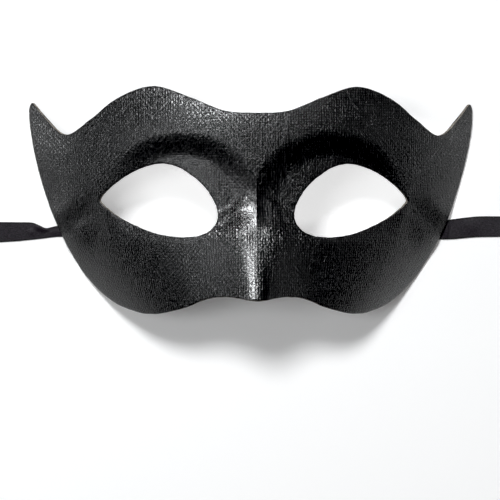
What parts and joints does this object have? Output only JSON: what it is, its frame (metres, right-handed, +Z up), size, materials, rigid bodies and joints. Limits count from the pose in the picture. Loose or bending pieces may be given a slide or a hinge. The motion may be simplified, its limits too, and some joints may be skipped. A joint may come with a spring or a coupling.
{
  "type": "party mask",
  "caption": "Half-face party mask with almond eye openings, nose ridge, scalloped edge, a pointed wing at each temple and ribbon ties.",
  "frame": {"origin": "on the table under the middle of the mask, halfway up its height", "axes": "+Z up from the table and out of the face, +Y to the forehead, +X to the side on the picture's right"},
  "size_m": [0.214, 0.0886, 0.0454],
  "materials": {
    "painted_cloth": "black paint over moulded woven cloth, semi-gloss, fine ribbed grain",
    "satin_ribbon": "black satin ribbon with woven edges"
  },
  "bodies": {
    "root": {"mask_shell": "painted_cloth", "ribbon_left": "satin_ribbon", "ribbon_right": "satin_ribbon"}
  },
  "joints": []
}
